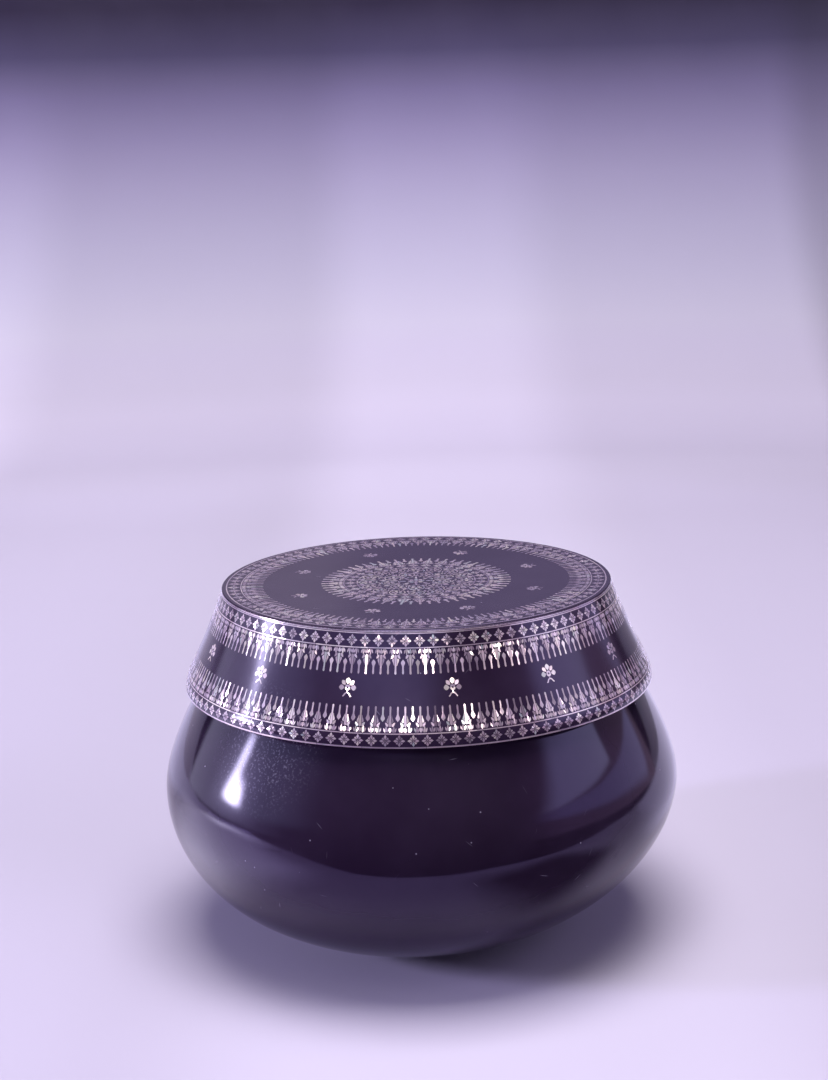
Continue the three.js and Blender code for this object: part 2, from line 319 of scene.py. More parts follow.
dustLook = {
    "colour": (0.42, 0.38, 0.48),
    "speckScale": 240,
    "speckSize": (0.05, 0.11),
    "speckCover": 0.6,
    "speckRoughness": 0.4,
    # a patch beside the streak of light: dust that carries a painted glow of that light
    "dustGlowMiddle": (-0.073, -0.088, 0.124),
    "dustGlowReach": (0.008, 0.038),
    "dustGlowScale": 900,
    "dustGlowGrain": (0.52, 0.72),
    "dustGlowCover": 0.28,
}

scratchLook = {
    "scale": 90,
    "halfWidth": 0.2 * mm,
    "halfLength": 2.8 * mm,
    "fullWidth": 0.2,
    "fullLength": 0.3,
    "patchScale": 12,
    "patchReach": (0.48, 0.62),
    "cover": 0.35,
    "roughness": 0.25,
}

lacquers = {
    "bowlLacquer": {"polish": 0.08, "lift": 1.0, "scratches": 0.45, "specks": 0.08},
    "lidLacquer": {"polish": 0.15, "lift": 1.3, "scratches": 0.2, "specks": 0.02},
}


def scratchMask(finish, place, share):
    # one hair-thin straight mark about some of the cells' middles, each turned its own way
    look = scratchLook
    cells = {"Vector": place, "Scale": look["scale"], "Randomness": 1}
    middle = finish.node("TexVoronoi", None, cells, "Position")
    chance = finish.node("TexWhiteNoise", None, {"Vector": middle}, "Value")
    anyWay = finish.node("TexWhiteNoise", None, {"Vector": middle}, "Color")
    away = finish.node("VectorMath", {"operation": "SUBTRACT"}, {0: anyWay, 1: (0.5, 0.5, 0.5)})
    face = finish.node("NewGeometry", output="Normal")
    across = finish.node("VectorMath", {"operation": "CROSS_PRODUCT"}, {0: face, 1: away})
    square = finish.node("VectorMath", {"operation": "NORMALIZE"}, {0: across})
    offset = finish.node("VectorMath", {"operation": "SUBTRACT"}, {0: place, 1: middle})
    beside = finish.node("VectorMath", {"operation": "DOT_PRODUCT"}, {0: offset, 1: square}, "Value")
    reach = finish.node("VectorMath", {"operation": "LENGTH"}, {0: offset}, "Value")
    gap = finish.node("Math", {"operation": "ABSOLUTE"}, {0: beside})
    thin = 1 - finish.ranged(gap, look["fullWidth"] * look["halfWidth"], look["halfWidth"])
    short = 1 - finish.ranged(reach, look["fullLength"] * look["halfLength"], look["halfLength"])
    patches = finish.noise(place, look["patchScale"], 2)
    return thin * short * finish.ranged(patches, *look["patchReach"]) * (chance > 1 - share)


def speckMask(finish, place, share):
    # a round speck of dust at some of the cells' middles
    look = dustLook
    cells = {"Vector": place, "Scale": look["speckScale"], "Randomness": 1}
    away = finish.node("TexVoronoi", None, cells, "Distance")
    middle = finish.node("TexVoronoi", None, cells, "Position")
    chance = finish.node("TexWhiteNoise", None, {"Vector": middle}, "Value")
    return (1 - finish.ranged(away, *look["speckSize"])) * (chance > 1 - share)


def dustGlowMask(finish, place):
    # fine dust beside the streak of light on the bowl's shoulder, lighter round one point: real dust with a
    # painted glow of the streak's light
    look = dustLook
    away = finish.node("VectorMath", {"operation": "DISTANCE"}, {0: place, 1: look["dustGlowMiddle"]}, "Value")
    grain = finish.noise(place, look["dustGlowScale"])
    return finish.ranged(away, *look["dustGlowReach"], 1, 0) * finish.ranged(grain, *look["dustGlowGrain"])


def makeLacquer(name):
    look = lacquerLook
    own = lacquers[name]
    finish = Finish(name, IOR=look["ior"], Specular_Tint=(*look["tint"], 1))
    place = finish.place()
    cloud = finish.noise(place, look["cloudScale"], 4, 0.6)
    scratched = scratchMask(finish, place, own["scratches"])
    speck = speckMask(finish, place, own["specks"])
    dustGlow = dustGlowMask(finish, place)
    black = [own["lift"] * part for part in look["black"]]
    worn = [own["lift"] * part for part in look["worn"]]
    body = finish.mix(finish.ranged(cloud, *look["wornReach"]), (*black, 1), (*worn, 1))
    cover = speck * dustLook["speckCover"] + scratched * scratchLook["cover"]
    # the patch beside the streak paints the streak's glow over real dust
    dusted = finish.mix(cover + dustGlow * dustLook["dustGlowCover"], body, (*dustLook["colour"], 1))
    rough = own["polish"] + finish.ranged(cloud, *look["smudgeReach"]) * look["smudge"]
    marks = scratched * scratchLook["roughness"] + speck * dustLook["speckRoughness"]
    waves = finish.noise(place, look["waveScale"], 1, 0.4)
    finish.set(
        Base_Color=dusted,
        Roughness=rough + marks,
        Normal=finish.bump(waves, look["waveDepth"], look["waveStrength"]),
    )
    return finish


# Iron and hoop wood

ironLook = {
    "dark": (0.012, 0.009, 0.012),
    "light": (0.045, 0.034, 0.036),
    "metallic": 0.4,
    "roughness": 0.42,
    "scaleRoughness": 0.2,
    "scaleReach": (0.3, 0.7),
    "scaleScale": 220,
    "pitScale": 900,
    "pitDepth": 0.08 * mm,
    "pitStrength": 0.5,
}


def makeIron():
    look = ironLook
    finish = Finish("firedIron", Metallic=look["metallic"])
    place = finish.place()
    scale = finish.noise(place, look["scaleScale"], 5, 0.7)
    pits = finish.noise(place, look["pitScale"], 2)
    finish.set(
        Base_Color=finish.mix(scale, (*look["dark"], 1), (*look["light"], 1)),
        Roughness=look["roughness"] + finish.ranged(scale, *look["scaleReach"]) * look["scaleRoughness"],
        Normal=finish.bump(pits + scale, look["pitDepth"], look["pitStrength"]),
    )
    return finish


hoopLook = {
    "dark": (0.016, 0.010, 0.012),
    "light": (0.040, 0.026, 0.024),
    "roughness": 0.32,
    "grainScale": (60, 60, 900),
    "grainDepth": 0.05 * mm,
    "grainStrength": 0.4,
}


def makeHoopWood():
    look = hoopLook
    finish = Finish("hoopWood", Roughness=look["roughness"])
    rings = finish.noise(finish.stretched(finish.place(), look["grainScale"]), 1, 3, 0.6)
    finish.set(
        Base_Color=finish.mix(rings, (*look["dark"], 1), (*look["light"], 1)),
        Normal=finish.bump(rings, look["grainDepth"], look["grainStrength"]),
    )
    return finish


bowlLacquer = makeLacquer("bowlLacquer")
lidLacquer = makeLacquer("lidLacquer")
firedIron = makeIron()
hoopWood = makeHoopWood()
print("finishes: lacquer, iron and hoop wood made")


# The bowl

bowlShape = {
    "lowerSteps": 72,
    "shoulderSteps": 36,
    "wall": 1.8 * mm,
    "lean": 4 * mm,
    "leanGain": 1.6,
    "leanPower": 1.3,
}


def makeBowl():
    lowerReach = bellyHeight + curves["footFlat"]
    footAngle = math.acos((bellyHeight / lowerReach) ** (curves["lowerPower"] / 2))
    lower = [
        bellyHeight - lowerReach * math.cos(angle) ** (2 / curves["lowerPower"])
        for angle in evenly(bowlShape["lowerSteps"], footAngle, math.pi / 2)
    ]
    heights = lower + evenly(bowlShape["shoulderSteps"], bellyHeight, mouthHeight)[1:]
    outside = [bowlPoint(z, 0) for z in heights]
    inside = [bowlPoint(z, bowlShape["wall"]) for z in reversed(heights)]
    outside[0] = (outside[0][0], 0)
    inside[0] = (mouthRadius - bowlShape["wall"], mouthHeight)
    outline = [(0, 0), *outside, *inside, (0, bowlShape["wall"])]
    bowl = addTurned("bowlShell", outline, bowlLacquer)
    # the photo's bowl is beaten a little crooked: its bottom stands to the left
    for vertex in bowl.data.vertices:
        below = max(0, 1 - vertex.co.z / bellyHeight)
        vertex.co.x -= bowlShape["lean"] * min(1, bowlShape["leanGain"] * below ** bowlShape["leanPower"])
    placePiece(bowl, "bowl", "bowl_lacquer", "bowl_shell")


mouthBandShape = {
    "width": 5 * mm,
    "ease": 1.2 * mm,
    "easeSteps": 6,
}


def makeMouthBand():
    lowest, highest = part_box("mouth_band")
    radius = reachOf("mouth_band")
    width = mouthBandShape["width"]
    ease = mouthBandShape["ease"]
    corners = [
        (radius - ease, highest.z - ease, 0),
        (radius - width + ease, highest.z - ease, math.pi / 2),
    ]
    outline = [(radius - width, lowest.z), (radius, lowest.z)]
    for across, up, start in corners:
        outline += [
            (across + ease * math.cos(angle), up + ease * math.sin(angle))
            for angle in evenly(mouthBandShape["easeSteps"], start, start + math.pi / 2)
        ]
    band = addTurned("mouthBand", outline, firedIron)
    placePiece(band, "bowl", "mouth_iron", "mouth_band")


makeBowl()
makeMouthBand()
print("bowl: shell and mouth band made")


# The lid

lidShape = {
    "sideSteps": 48,
    "insideSteps": 12,
    "edgeRound": 0.8 * mm,
    "edgeSteps": 8,
    "rimEase": 0.35 * mm,
    "rimEaseMiddle": 0.3,
    "wall": 5 * mm,
    "boardThickness": 5 * mm,
    "ledge": 2 * mm,
    "ledgeSlope": 14 * mm,
    "seam": 0.04 * mm,
    "seamInset": 2.35 * mm,
    "boardRings": 24,
}


def lidInnerRadius(height):
    return lidRadius(height) - lidShape["wall"] * math.hypot(1, lidSlope(height))


def makeLid():
    ease = lidShape["rimEase"]
    rounded = lidShape["edgeRound"]
    seamRadius = lidTopRadius - lidShape["seamInset"]
    ledgeHeight = lidTop - lidShape["boardThickness"]
    centre = lidRadius(lidHeight - rounded) - rounded
    eased = lidShape["rimEaseMiddle"] * ease
    outline = [(lidRadius(0) - ease, lidSeat), (lidRadius(0) - eased, lidSeat + eased)]
    sideHeights = evenly(lidShape["sideSteps"], ease, lidHeight - rounded)
    outline += [(lidRadius(height), lidSeat + height) for height in sideHeights]
    outline += [
        (centre + rounded * math.cos(angle), lidTop - rounded + rounded * math.sin(angle))
        for angle in evenly(lidShape["edgeSteps"], 0, math.pi / 2)[1:]
    ]
    outline += [
        (seamRadius, topLevel(seamRadius)),
        (seamRadius, ledgeHeight),
        (seamRadius - lidShape["ledge"], ledgeHeight),
    ]
    inside = evenly(lidShape["insideSteps"], 0, ledgeHeight - lidSeat - lidShape["ledgeSlope"])
    outline += [(lidInnerRadius(height), lidSeat + height) for height in reversed(inside)]
    wall = addTurned("lidWall", outline, lidLacquer)
    placePiece(wall, "lid", "lid_lacquer", "lid_wall")
    boardRadius = seamRadius - lidShape["seam"]
    boardOutline = [
        (0, ledgeHeight + lidShape["seam"]),
        (boardRadius, ledgeHeight + lidShape["seam"]),
        *[(radius, topLevel(radius)) for radius in evenly(lidShape["boardRings"], boardRadius, 0)],
    ]
    board = addTurned("lidTopBoard", boardOutline, lidLacquer)
    placePiece(board, "lid", "lid_lacquer", "lid_top_board")


hoopShape = {
    "gap": 0.3 * mm,
    "steps": 6,
}


def makeHoop():
    lowest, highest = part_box("lid_rim_hoop")
    heights = evenly(hoopShape["steps"], lowest.z, highest.z)
    inner = [(bowlOuterRadius(z) + hoopShape["gap"], z) for z in heights]
    outer = [(lidInnerRadius(z - lidSeat) - hoopShape["gap"], z) for z in heights]
    hoop = addTurned("lidRimHoop", outer + inner[::-1], hoopWood)
    placePiece(hoop, "lid", "hoop_wood", "lid_rim_hoop")


makeLid()
makeHoop()
print("lid: wall, top board and hoop made")


# Mother-of-pearl

pearlLook = {
    "palette": [
        (0.00, (0.24, 0.17, 0.24)),
        (0.25, (0.38, 0.28, 0.37)),
        (0.50, (0.54, 0.41, 0.51)),
        (0.70, (0.71, 0.56, 0.62)),
        (0.84, (0.88, 0.75, 0.70)),
        (0.91, (0.50, 0.55, 0.60)),
        (0.96, (0.95, 0.86, 0.84)),
        (1.00, (1.00, 0.98, 1.00)),
    ],
    "blush": (0.80, 0.50, 0.66),
    "blushReach": (0.5, 0.72),
    "blushCover": 0.35,
    "green": (0.40, 0.50, 0.50),
    "greenReach": (0.25, 0.42),
    "greenCover": 0.3,
    "sheenScale": 380,
    "growth": (0.12, 0.09, 0.15),
    "growthCover": 0.22,
    "growthScale": 1.1,
    "growthBend": 5,
    "growthFineScale": 1.2,
    "metallic": 0.4,
    "roughness": 0.18,
    "coatRoughness": 0.06,
}


def makePearl():
    look = pearlLook
    finish = Finish(
        "motherOfPearl",
        Metallic=look["metallic"],
        Roughness=look["roughness"],
        Coat_Weight=1,
        Coat_Roughness=look["coatRoughness"],
    )
    tone = finish.node("Attribute", {"attribute_name": "tone"}, output="Fac")
    lean = finish.node("Attribute", {"attribute_name": "lean"}, output="Vector")
    grain = finish.node("UVMap", {"uv_map": "grain"})
    shell = finish.node("ValToRGB", {"stops": look["palette"]}, {"Fac": tone}, "Color")
    waves = {
        "Vector": grain,
        "Scale": look["growthScale"],
        "Distortion": look["growthBend"],
        "Detail": 2,
        "Detail Scale": look["growthFineScale"],
    }
    growth = finish.node("TexWave", {"wave_type": "BANDS"}, waves, "Fac")
    sheen = finish.noise(finish.place(), look["sheenScale"], 2)
    blushing = finish.ranged(sheen, *look["blushReach"], 0, look["blushCover"])
    greening = finish.ranged(sheen, *look["greenReach"], look["greenCover"], 0)
    blushed = finish.mix(blushing, shell, (*look["blush"], 1))
    tinted = finish.mix(greening, blushed, (*look["green"], 1))
    shaded = finish.mix(growth * look["growthCover"], tinted, (*look["growth"], 1))
    face = finish.node("NewGeometry", output="Normal")
    turned = {"vector_type": "VECTOR", "convert_from": "OBJECT", "convert_to": "WORLD"}
    leaning = finish.node("VectorTransform", turned, {"Vector": lean})
    added = finish.node("VectorMath", {"operation": "ADD"}, {0: face, 1: leaning})
    tilted = finish.node("VectorMath", {"operation": "NORMALIZE"}, {0: added})
    finish.set(Base_Color=shaded, Normal=tilted)
    return finish


motherOfPearl = makePearl()

# How the shells are cut and laid. Lean tips a shell's gloss, as one that isn't bedded quite level.
# The tile values place each shell on the map, with room for its walls and its back.

inlayCut = {
    "proud": 0.035 * mm,
    "depth": 0.25 * mm,
    "groupLean": 0.09,
    "ownLean": 0.13,
    "ownTone": 0.55,
    "lineOwnTone": 0.25,
    "lineUnrest": 0.2,
    "lineTones": (0.3, 0.85),
    "slopeAlong": 0.05 * mm,
    "slopeTurn": 0.0005,
    "tileMargin": 0.1,
    "footMargin": 0.03,
    "backShare": 0.1,
    "grainSpread": 50,
}


def frameAt(surface, angle, along):
    # the point of the surface, its outward normal and its two directions along the surface
    turn = inlayCut["slopeTurn"]
    step = inlayCut["slopeAlong"]
    point = surface(angle, along)
    east = (surface(angle + turn, along) - surface(angle - turn, along)).normalized()
    up = (surface(angle, along + step) - surface(angle, along - step)).normalized()
    return point, east.cross(up).normalized(), east, up


def isClockwise(outline):
    area = 0
    for (x, y), (nextX, nextY) in zip(outline, outline[1:] + outline[:1]):
        area += x * nextY - nextX * y
    return area < 0


def grainPlan(flat, dice):
    # a shell's face in millimetres, turned and moved its own way across the growth lines
    turn = dice.uniform(0, math.pi)
    shift = dice.uniform(0, inlayCut["grainSpread"])
    plan = []
    for x, y in flat:
        across = x * math.cos(turn) + y * math.sin(turn)
        along = y * math.cos(turn) - x * math.sin(turn)
        plan.append((across / mm + shift, along / mm))
    return plan


def onTile(flat, margin):
    # the flat shape stretched over a unit square, inside a margin
    lowX, highX = min(x for x, _ in flat), max(x for x, _ in flat)
    lowY, highY = min(y for _, y in flat), max(y for _, y in flat)
    inner = 1 - 2 * margin
    return [
        (margin + inner * (x - lowX) / (highX - lowX), margin + inner * (y - lowY) / (highY - lowY))
        for x, y in flat
    ]


def tileSpots(flat, number, columns):
    # the shell's own square on the map: its face, the foot of its wall round that, its back below
    places = {
        "top": onTile(flat, inlayCut["tileMargin"]),
        "foot": onTile(flat, inlayCut["footMargin"]),
        "back": onTile(flat, inlayCut["tileMargin"]),
    }
    column = number % columns
    row = number // columns
    backShare = inlayCut["backShare"]
    spots = {}
    for level, tile in places.items():
        share = backShare if level == "back" else 1 - backShare
        foot = 0 if level == "back" else backShare
        spots[level] = [((column + x) / columns, (row + foot + share * y) / columns) for x, y in tile]
    return spots


def shellFaces(count):
    # the face, the back and the walls of one shell: its points' numbers, with their level on the map
    top = list(range(count))
    faces = [[(place, "top") for place in top], [(place, "back") for place in reversed(top)]]
    for place in top:
        after = (place + 1) % count
        faces.append([(place, "foot"), (after, "foot"), (after, "top"), (place, "top")])
    return faces


def addInlay(name, node, shells, surface, seed, unrest=1, shades=(0, 1)):
    # shells holds (group, outline) pairs, each outline a list of (angle, along) points of the surface
    dice = random.Random(seed)
    columns = math.ceil(math.sqrt(len(shells)))
    groups = {}
    points, faces, leans, tones, tiles, grains = [], [], [], [], [], []
    for number, (group, outline) in enumerate(shells):
        if isClockwise(outline):
            outline = outline[::-1]
        if group not in groups:
            groups[group] = [dice.gauss(0, inlayCut["groupLean"]) for _ in range(2)] + [dice.random()]
        isLine = isinstance(group, tuple) and group[0] == "line"
        sway = inlayCut["lineUnrest"] if isLine else unrest
        ownShare = inlayCut["lineOwnTone"] if isLine else inlayCut["ownTone"]
        darkest, lightest = inlayCut["lineTones"] if isLine else shades
        eastLean = sway * (groups[group][0] + dice.gauss(0, inlayCut["ownLean"]))
        upLean = sway * (groups[group][1] + dice.gauss(0, inlayCut["ownLean"]))
        tone = (1 - ownShare) * groups[group][2] + ownShare * dice.random()
        middleAngle = sum(angle for angle, _ in outline) / len(outline)
        middleAlong = sum(along for _, along in outline) / len(outline)
        middle, _, east, up = frameAt(surface, middleAngle, middleAlong)
        count = len(outline)
        first = len(points)
        spots = [frameAt(surface, angle, along)[:2] for angle, along in outline]
        points += [point + normal * inlayCut["proud"] for point, normal in spots]
        points += [point - normal * inlayCut["depth"] for point, normal in spots]
        leans += [east * eastLean + up * upLean] * (2 * count)
        tones += [darkest + (lightest - darkest) * tone] * (2 * count)
        flat = [((point - middle).dot(east), (point - middle).dot(up)) for point, _ in spots]
        tile = tileSpots(flat, number, columns)
        plan = grainPlan(flat, dice)
        for face in shellFaces(count):
            faces.append([first + place + (0 if level == "top" else count) for place, level in face])
            tiles.extend(tile[level][place] for place, level in face)
            grains.extend(plan[place] for place, _ in face)
    piece = addMesh(name, points, faces, motherOfPearl, {"grain": grains, "OFBake": tiles})
    toneLayer = piece.data.attributes.new("tone", "FLOAT", "POINT")
    toneLayer.data.foreach_set("value", tones)
    leanLayer = piece.data.attributes.new("lean", "FLOAT_VECTOR", "POINT")
    leanLayer.data.foreach_set("vector", [number for lean in leans for number in lean])
    placePiece(piece, "lid", "pearl", node)


# Outlines of single shells, drawn in millimetres

def shaped(start, end, profile):
    # an outline about a straight axis through (share of its length, half width) stations
    startX, startY = start
    lengthX, lengthY = end[0] - startX, end[1] - startY
    length = math.hypot(lengthX, lengthY)
    acrossX, acrossY = -lengthY / length, lengthX / length
    sides = profile + [(share, -half) for share, half in reversed(profile)]
    return [
        (startX + lengthX * share + acrossX * half, startY + lengthY * share + acrossY * half)
        for share, half in sides
    ]


def petal(start, end, width, swell=1.0, steps=6):
    # widest past the middle where swell is over 1, and before it where it is under 1
    shares = [0.5 - 0.5 * math.cos(math.pi * (step + 0.5) / steps) for step in range(steps)]
    profile = [(share, width / 2 * math.sin(math.pi * share ** swell) ** 0.8) for share in shares]
    return shaped(start, end, profile)


def drop(start, end, head, tail):
    # a pointed start, a round head and a long tail with a blunt end
    bulb = [(0.06, 0.17), (0.13, 0.40), (0.20, 0.5), (0.27, 0.47), (0.36, 0.33)]
    stem = [(0.46, 0.46), (0.60, 0.40), (0.90, 0.5), (1, 0.28)]
    profile = [(0, 0.06)] + [(share, half * head) for share, half in bulb]
    return shaped(start, end, profile + [(share, half * tail) for share, half in stem])


def kite(turn, inner, widest, tip, width):
    # one petal of a quatrefoil, pointing along turn, a little hollow on both its sides
    half = [(inner, 0), ((inner + widest) / 2, 0.42 * width), (widest, width)]
    half += [((widest + tip) / 2, 0.56 * width), (tip, 0)]
    outline = half + [(x, -y) for x, y in reversed(half[1:-1])]
    return [
        (x * math.cos(turn) - y * math.sin(turn), x * math.sin(turn) + y * math.cos(turn))
        for x, y in outline
    ]


def disc(x, y, radius, sides=8):
    return [
        (x + radius * math.cos(fullTurn * side / sides), y + radius * math.sin(fullTurn * side / sides))
        for side in range(sides)
    ]


def ribbon(line, width):
    left = []
    right = []
    for place, (x, y) in enumerate(line):
        beforeX, beforeY = line[max(0, place - 1)]
        afterX, afterY = line[min(len(line) - 1, place + 1)]
        length = math.hypot(afterX - beforeX, afterY - beforeY)
        acrossX, acrossY = -(afterY - beforeY) / length, (afterX - beforeX) / length
        left.append((x + acrossX * width / 2, y + acrossY * width / 2))
        right.append((x - acrossX * width / 2, y - acrossY * width / 2))
    return left + right[::-1]


def arc(radius, start, end, steps):
    return [(radius * math.cos(angle), radius * math.sin(angle)) for angle in evenly(steps, start, end)]


# Designs of one unit each, drawn about x = 0

flameDesign = {"pitch": 6.9, "height": 11.1}


def flameShells():
    # buds, leaves and a lobe up each flank, the flame's tall middle, and the drop between two flames
    shells = []
    lobe = [(0.80, 4.3), (1.15, 4.15), (1.65, 4.75), (1.45, 5.5)]
    lobe += [(1.05, 6.3), (0.72, 7.3), (0.60, 7.2), (0.70, 5.6)]
    for side in (-1, 1):
        bud = side * 1.72
        shells.append(petal((bud, 0.15), (bud, 3.0), 0.85))
        for lean in (-1, 1):
            shells.append(petal((bud + lean * 0.5, 0.3), (bud + lean * 1.15, 2.2), 0.72, 1.05))
        shells.append(petal((side * 0.85, 2.6), (side * 2.2, 4.4), 1.1, 0.9))
        shells.append([(side * x, y) for x, y in lobe])
    shells.append(petal((0, 0.2), (0, 2.35), 1.15))
    flank = [(0, 0.2), (0.05, 0.55), (0.13, 0.70), (0.24, 0.56), (0.40, 0.44)]
    flank += [(0.58, 0.38), (0.80, 0.40), (0.95, 0.48), (1, 0.2)]
    shells.append(shaped((0, 2.6), (0, 11.0), flank))
    shells.append(drop((flameDesign["pitch"] / 2, 4.7), (flameDesign["pitch"] / 2, 10.9), 1.95, 0.9))
    return shells


diamondDesign = {"pitch": 6.35, "height": 5.2}


def diamondShells():
    # four petals to the diamond's points, four short ones between them, and a round heart
    points = [kite(turn * math.pi / 2, 0.3, 1.72, 2.68, 0.62) for turn in range(4)]
    between = [kite((turn + 0.5) * math.pi / 2, 0.42, 1.62, 1.96, 0.56) for turn in range(4)]
    shells = points + between + [disc(0, 0, 0.24, 6)]
    return [[(x, y + diamondDesign["height"] / 2) for x, y in outline] for outline in shells]


def flowerShells():
    # five petals over a ring in two halves, with a stalk and two hooked leaves below
    shells = []
    for angle in evenly(4, 0, math.pi):
        width = 1.75 if abs(math.sin(2 * angle)) > 0.5 else 2.3
        start = (1.45 * math.cos(angle), 1.45 * math.sin(angle))
        end = (4.1 * math.cos(angle), 4.1 * math.sin(angle))
        shells.append(petal(start, end, width, 1.2, 8))
    for turn in (0, math.pi):
        shells.append(ribbon(arc(0.85, turn + 0.06, turn + math.pi - 0.06, 8), 0.85))
    shells.append(ribbon([(0, -1.45), (0, -1.8), (0, -2.1)], 0.45))
    for side in (-1, 1):
        hook = [(0.1, -2.2), (0.65, -2.3), (1.1, -2.7), (1.45, -3.3), (2.0, -3.7)]
        shells.append(ribbon([(side * x, y) for x, y in hook], 0.55))
    return shells


# A line's strips: how many, and the angle in radians at which they start

lineStrips = {
    "rim": (26, 0.3),
    "edgeLow": (22, 0.2),
    "edgeHigh": (18, 0.7),
    "topEdge": (20, 0.1),
    "flames": (30, 0.4),
    "medallion": (12, 0.2),
    "medallionFlames": (16, 0.1),
}

lineCut = {
    "unevenness": 0.25,
    "jointTurn": 0.0012,
    "cellTurn": math.radians(2.4),
}


def lineShells(strips, low, high):
    # a thin line of strips with fine joints, as (angle, along) points. Each strip is made of short
    # cells, so that it follows the curve. The number of strips seeds where they are cut.
    count, phase = lineStrips[strips]
    shells = []
    dice = random.Random(count * 7 + 3)
    uneven = lineCut["unevenness"]
    cuts = [phase + fullTurn * (number + dice.uniform(-uneven, uneven)) / count for number in range(count)]
    cuts.append(cuts[0] + fullTurn)
    for number in range(count):
        start = cuts[number] + lineCut["jointTurn"]
        end = cuts[number + 1]
        cells = evenly(math.ceil((end - start) / lineCut["cellTurn"]), start, end)
        for first, last in zip(cells, cells[1:]):
            middle = (first + last) / 2
            lower = [(first, low), (middle, low), (last, low)]
            shells.append((("line", number), lower + [(last, high), (middle, high), (first, high)]))
    return shells


def repeatRound(design, shells, count, phase, base, tip):
    # count equal units round the lid, each drawn between base and tip
    made = []
    for unit in range(count):
        for outline in shells:
            made.append((unit, [
                (math.radians(phase) + (unit + x / design["pitch"]) * fullTurn / count,
                 base + (tip - base) * y / design["height"])
                for x, y in outline
            ]))
    return made


def setDown(shells, angle, along, radius):
    # one design kept at its drawn size, turned to stand at one angle of the lid's side
    return [(0, [(angle + x * mm / radius, along + y * mm) for x, y in outline]) for outline in shells]


# Borders

borders = {
    "lineWidth": 0.45 * mm,
    "rimLine": 0.05 * mm,
    "rimLineTop": 0.75 * mm,
    "lowerLine": 6.25 * mm,
    "upperLine": 41.6 * mm,
    "edgeLine": 47.8 * mm,
    "edgeStrips": {"edgeLow": (0, 0.4 * mm), "edgeHigh": (0.65 * mm, 1.3 * mm)},
    "topEdgeLine": 2.0 * mm,
    "topEdgeLineWidth": 0.6 * mm,
    "topLine": 9.2 * mm,
    "diamondUnrest": 0.5,
}

diamondRows = [
    {"name": "lowerDiamondBand", "node": "lower_diamond_band", "surface": onSide, "seed": 20,
     "count": 116, "phase": 1.5, "base": 1.0 * mm, "tip": 6.05 * mm},
    {"name": "upperDiamondBand", "node": "upper_diamond_band", "surface": onSide, "seed": 21,
     "count": 100, "phase": 0.4, "base": 42.25 * mm, "tip": 47.4 * mm},
    {"name": "topDiamondBand", "node": "top_diamond_band", "surface": onTop, "seed": 22,
     "count": 84, "phase": 0.6, "base": 3.0 * mm, "tip": 8.8 * mm},
]

# Each row of flames stands on a line, on its upper side where it points up the lid or inwards
flameRows = [
    {"name": "lowerFlameBorder", "node": "lower_flame_border", "surface": onSide, "seed": 40,
     "count": 104, "phase": 0.1, "line": borders["lowerLine"], "isUpward": True, "tip": 17.7 * mm},
    {"name": "upperFlameBorder", "node": "upper_flame_border", "surface": onSide, "seed": 41,
     "count": 96, "phase": 1.7, "line": borders["upperLine"], "isUpward": False, "tip": 30.6 * mm},
    {"name": "topFlameBorder", "node": "top_flame_border", "surface": onTop, "seed": 42,
     "count": 75, "phase": 1.2, "line": borders["topLine"], "isUpward": True, "tip": 20.6 * mm},
]


def makeLines():
    made = lineShells("rim", borders["rimLine"], borders["rimLineTop"])
    addInlay("rimLine", "rim_line", made, onSide, seed=1)
    made = []
    for strips, (low, high) in borders["edgeStrips"].items():
        made += lineShells(strips, borders["edgeLine"] + low, borders["edgeLine"] + high)
    addInlay("upperEdgeLine", "upper_edge_line", made, onSide, seed=2)
    low = borders["topEdgeLine"]
    made = lineShells("topEdge", low, low + borders["topEdgeLineWidth"])
    addInlay("topEdgeLine", "top_edge_line", made, onTop, seed=3)
    low = lidTopRadius - reachOf("medallion_line")
    made = lineShells("medallion", low, low + borders["lineWidth"])
    addInlay("medallionLine", "medallion_line", made, onTop, seed=4)


def makeDiamonds():
    for row in diamondRows:
        shells = diamondShells()
        made = repeatRound(diamondDesign, shells, row["count"], row["phase"], row["base"], row["tip"])
        addInlay(row["name"], row["node"], made, row["surface"], row["seed"], borders["diamondUnrest"])


def makeFlames():
    for row in flameRows:
        low = row["line"]
        high = low + borders["lineWidth"]
        root = high if row["isUpward"] else low
        made = lineShells("flames", low, high)
        made += repeatRound(flameDesign, flameShells(), row["count"], row["phase"], root, row["tip"])
        addInlay(row["name"], row["node"], made, row["surface"], row["seed"])


makeLines()
makeDiamonds()
makeFlames()
print("lid: lines, diamonds and flames laid")


# Flowers

flowers = {
    "sideCount": 14,
    "sideStart": 8.1,
    "sideRaise": 0.7 * mm,
    "sideSeed": 100,
    "topCount": 8,
    "topStart": 22.5,
    "topSeed": 200,
    "nudged": {6: 1.6, 7: 2.8},
}


def makeFlowers():
    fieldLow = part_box("lower_flame_border")[1].z
    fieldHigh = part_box("upper_flame_border")[0].z
    along = (fieldLow + fieldHigh) / 2 - lidSeat + flowers["sideRaise"]
    for number in range(flowers["sideCount"]):
        angle = math.radians(flowers["sideStart"] + 360 * number / flowers["sideCount"])
        shells = setDown(flowerShells(), angle, along, lidRadius(along))
        seed = flowers["sideSeed"] + number
        addInlay(f"sideFlower{number + 1}", f"side_flower_{number + 1}", shells, onSide, seed)
    for number in range(flowers["topCount"]):
        lowest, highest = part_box(f"top_flower_{number + 1}")
        middle = (lowest + highest) / 2
        radius = math.hypot(middle.x, middle.y)
        nudge = flowers["nudged"].get(number, 0)
        angle = math.radians(flowers["topStart"] + nudge + 360 * number / flowers["topCount"])
        shells = setDown(flowerShells(), angle, lidTopRadius - radius, radius)
        seed = flowers["topSeed"] + number
        addInlay(f"topFlower{number + 1}", f"top_flower_{number + 1}", shells, onTop, seed)


makeFlowers()
print("lid: flowers laid")


